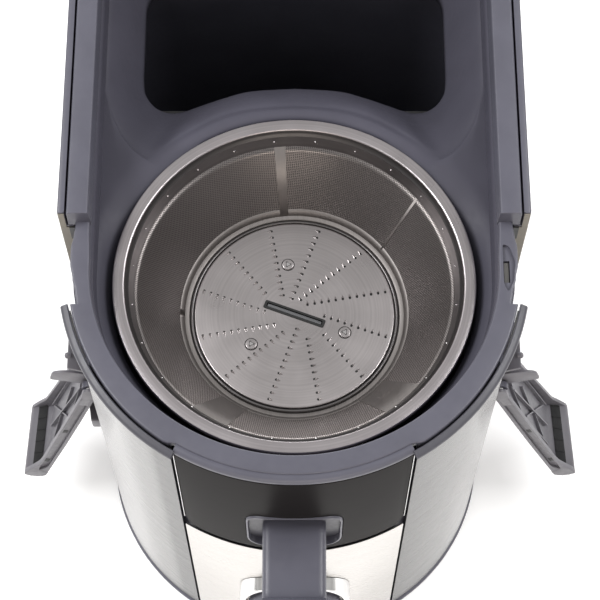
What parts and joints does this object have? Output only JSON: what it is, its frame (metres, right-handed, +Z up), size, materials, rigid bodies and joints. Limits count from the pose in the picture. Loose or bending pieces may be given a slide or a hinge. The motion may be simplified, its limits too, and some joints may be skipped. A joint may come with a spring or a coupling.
{
  "type": "centrifugal juicer",
  "caption": "Centrifugal juicer with its lid off: motor base with open side latches, juice bowl, spinning filter basket with a grating disc, front spout and rear pulp container.",
  "frame": {"origin": "on the table, under the middle of the juicer's box with both latches hanging open", "axes": "+Z up along the basket's axis, -Y towards the spout and the knob, +Y towards the pulp container, +X to the side with the interlock slot"},
  "size_m": [0.3131, 0.338, 0.291],
  "materials": {
    "grey_plastic": "satin",
    "black_plastic": "satin",
    "dark_panel": "satin",
    "steel": "brushed",
    "mesh_steel": "satin",
    "rubber": "matte",
    "copper": "satin",
    "iron": "matte",
    "board": "satin"
  },
  "bodies": {
    "base": {"base_housing": "grey_plastic", "base_plate": "grey_plastic", "foot_front_left": "rubber", "foot_front_right": "rubber", "foot_rear_left": "rubber", "foot_rear_right": "rubber", "steel_panel_left": "steel", "steel_panel_right": "steel", "side_band_left": "grey_plastic", "side_band_right": "grey_plastic", "rear_panel_left": "grey_plastic", "rear_panel_right": "grey_plastic", "front_fascia": "steel", "cord_gland": "rubber", "knob_bezel": "grey_plastic", "speed_switch": "black_plastic", "motor_stator": "iron", "field_coil_upper": "copper", "field_coil_lower": "copper", "motor_frame_lower": "iron", "motor_frame_upper": "iron", "lower_bearing": "steel", "upper_bearing": "steel", "carbon_brush_left": "iron", "carbon_brush_right": "iron", "motor_mount": "rubber", "circuit_board": "board", "interlock_spring": "steel", "interlock_switch": "black_plastic", "hinge_bracket_left": "grey_plastic", "hinge_bracket_right": "grey_plastic", "latch_pin_left": "steel", "latch_pin_right": "steel"},
    "rotor": {"motor_shaft": "steel", "armature": "iron", "commutator": "copper", "cooling_fan": "black_plastic", "drive_coupling": "black_plastic"},
    "bowl": {"juice_bowl": "grey_plastic", "bowl_seal": "rubber", "front_panel": "dark_panel", "juice_spout": "grey_plastic"},
    "flap": {"drip_flap": "grey_plastic"},
    "basket": {"basket_rim": "steel", "basket_mesh": "mesh_steel", "basket_base": "black_plastic", "grating_disc": "steel", "drive_insert": "black_plastic", "disc_screw_1": "steel", "disc_screw_2": "steel", "disc_screw_3": "steel"},
    "container": {"pulp_container": "black_plastic", "container_cover": "grey_plastic"},
    "knob": {"speed_knob": "grey_plastic"},
    "interlock": {"interlock_rod": "steel"},
    "left_latch": {"latch_left": "grey_plastic", "grip_pad_left": "rubber"},
    "right_latch": {"latch_right": "grey_plastic", "grip_pad_right": "rubber"}
  },
  "joints": [
    {"name": "rotor_spin", "type": "hinge", "parent": "base", "child": "rotor", "pos_m": [0, -0.02595, 0.113], "axis": [0, 0, 1], "continuous": true},
    {"name": "bowl_lift", "type": "slide", "parent": "base", "child": "bowl", "axis": [0, 0, 1], "range_m": [0, 0.12]},
    {"name": "basket_spin", "type": "hinge", "parent": "bowl", "child": "basket", "pos_m": [0, -0.02595, 0.23], "axis": [0, 0, 1], "continuous": true},
    {"name": "flap_swing", "type": "hinge", "parent": "bowl", "child": "flap", "pos_m": [0, -0.16555, 0.212], "axis": [-1, 0, 0], "range_deg": [0, 85]},
    {"name": "container_slide", "type": "slide", "parent": "base", "child": "container", "axis": [0, 1, 0], "range_m": [0, 0.2]},
    {"name": "knob_turn", "type": "hinge", "parent": "base", "child": "knob", "pos_m": [0, -0.14395, 0.095], "axis": [0, -1, 0], "range_deg": [0, 90]},
    {"name": "interlock_press", "type": "slide", "parent": "base", "child": "interlock", "axis": [0, 0, -1], "range_m": [0, 0.005], "stiffness_N_per_m": 400, "springref_m": -0.002, "deforming": ["interlock_spring"]},
    {"name": "left_latch_swing", "type": "hinge", "parent": "base", "child": "left_latch", "pos_m": [-0.105, -0.02595, 0.162], "axis": [0, 1, 0], "range_deg": [0, 162.3]},
    {"name": "right_latch_swing", "type": "hinge", "parent": "base", "child": "right_latch", "pos_m": [0.105, -0.02595, 0.162], "axis": [0, -1, 0], "range_deg": [0, 160.1]}
  ],
  "couplings": [
    {"joint": "basket_spin", "follows": "rotor_spin", "ratio": 1}
  ]
}
